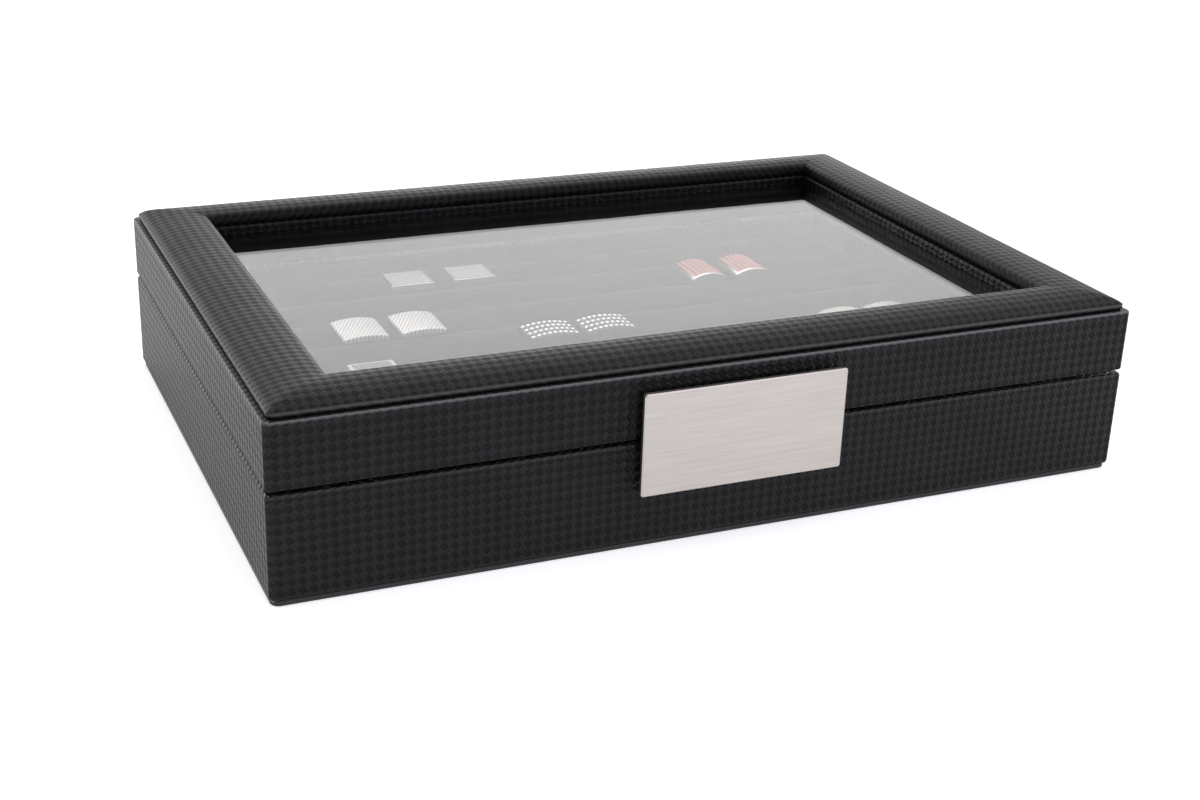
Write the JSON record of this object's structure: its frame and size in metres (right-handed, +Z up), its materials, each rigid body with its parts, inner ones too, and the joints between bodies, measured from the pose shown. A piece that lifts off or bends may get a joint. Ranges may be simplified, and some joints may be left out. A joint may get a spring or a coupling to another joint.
{
  "type": "cufflink display box",
  "caption": "Leather-covered display box for cufflinks: padded rolls in the base, hinged lid with a glass window in a padded frame, metal plate as a pull.",
  "frame": {"origin": "middle of the underside, on the surface the box stands on, midway between its outer leather faces", "axes": "+Z up; -Y is the front, where the name plate is; +Y the hinged back; +X the right-hand end seen from the front"},
  "size_m": [0.305, 0.2192, 0.065],
  "materials": {
    "leatherette": "black, embossed with a fine diagonal check, satin",
    "board": "bare fibreboard",
    "card": "grey card",
    "suede": "dark grey short-pile suede",
    "foam": "foam padding",
    "glass": "clear float glass",
    "hinge_metal": "nickel-plated",
    "magnet": "plated discs",
    "bumper": "soft black rubber",
    "plate_metal": "fine lengthwise brushing, polished bevel",
    "cufflink_metal": "silver-coloured, polished and satin",
    "satin_inlay": "satin",
    "weave_inlay": "red diagonal weave under clear coat",
    "dark_inlay": "dark enamel"
  },
  "bodies": {
    "base": {"base_back_board": "board", "base_front_board": "board", "base_hinge_screws": "hinge_metal", "base_leather_wrap": "leatherette", "base_left_board": "board", "base_magnets": "magnet", "base_right_board": "board", "base_wall_lining": "suede", "beaded_cufflink_heads": "cufflink_metal", "bottom_cover": "leatherette", "bottom_panel": "board", "cufflink_backs": "cufflink_metal", "cushion_roll_1": "suede", "cushion_roll_2": "suede", "cushion_roll_3": "suede", "cushion_roll_4": "suede", "cushion_roll_5": "suede", "cushion_roll_6": "suede", "cushion_roll_7": "suede", "cushion_roll_8": "suede", "framed_cufflink_heads": "cufflink_metal", "framed_cufflink_inlays": "dark_inlay", "hinge_pins": "hinge_metal", "left_hinge_base_leaf": "hinge_metal", "plain_cufflink_heads": "cufflink_metal", "plain_cufflink_inlays": "satin_inlay", "ribbed_cufflink_heads": "cufflink_metal", "right_hinge_base_leaf": "hinge_metal", "rim_bumpers": "bumper", "studded_cufflink_heads": "cufflink_metal", "tray_board": "card", "weave_cufflink_heads": "cufflink_metal", "weave_cufflink_inlays": "weave_inlay"},
    "lid": {"glass_bead_back": "suede", "glass_bead_front": "suede", "glass_bead_left": "suede", "glass_bead_right": "suede", "glass_pane": "glass", "left_hinge_lid_leaf": "hinge_metal", "lid_back_board": "board", "lid_front_board": "board", "lid_hinge_screws": "hinge_metal", "lid_leather_wrap": "leatherette", "lid_left_board": "board", "lid_right_board": "board", "lid_strike_discs": "magnet", "lid_top_panel": "board", "lid_wall_lining": "suede", "name_plate": "plate_metal", "name_plate_studs": "plate_metal", "padded_frame_card": "card", "padded_frame_cover": "leatherette", "padded_frame_foam": "foam", "right_hinge_lid_leaf": "hinge_metal"}
  },
  "joints": [
    {"name": "lid_hinge", "type": "hinge", "parent": "base", "child": "lid", "pos_m": [0, 0.107, 0.0372], "axis": [-1, 0, 0], "range_deg": [0, 95]}
  ]
}
